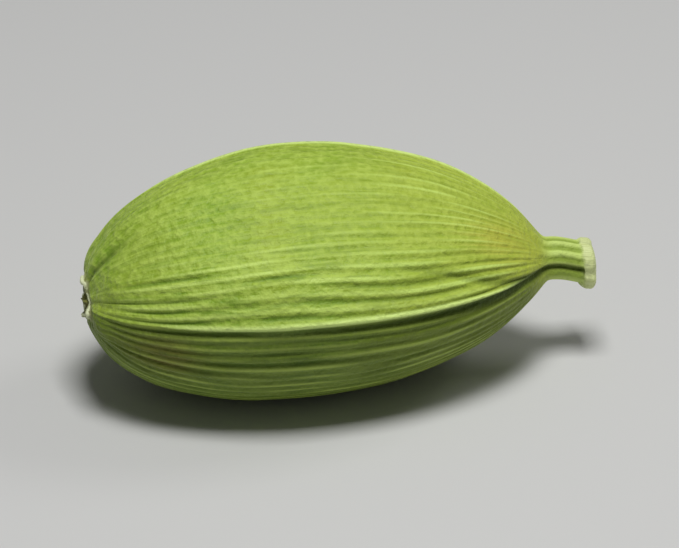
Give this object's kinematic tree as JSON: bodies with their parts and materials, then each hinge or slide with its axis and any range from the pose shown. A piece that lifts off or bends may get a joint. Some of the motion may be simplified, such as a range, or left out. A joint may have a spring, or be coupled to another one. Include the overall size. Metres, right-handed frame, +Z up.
{
  "type": "green cardamom pod",
  "caption": "Dried green cardamom pod: a ribbed, three-sided seed capsule with a stalk stub at its pointed end and a shrivelled flower crown at its blunt end.",
  "frame": {"origin": "below the middle of the pod's box, on the surface that the pod lies on", "axes": "+X along the pod from the flower crown to the stalk, +Y from the front to the back, +Z up"},
  "size_m": [0.02, 0.01, 0.0092],
  "materials": {
    "husk": "dry fibrous plant husk, nearly matt"
  },
  "bodies": {
    "root": {"pod": "husk"}
  },
  "joints": []
}
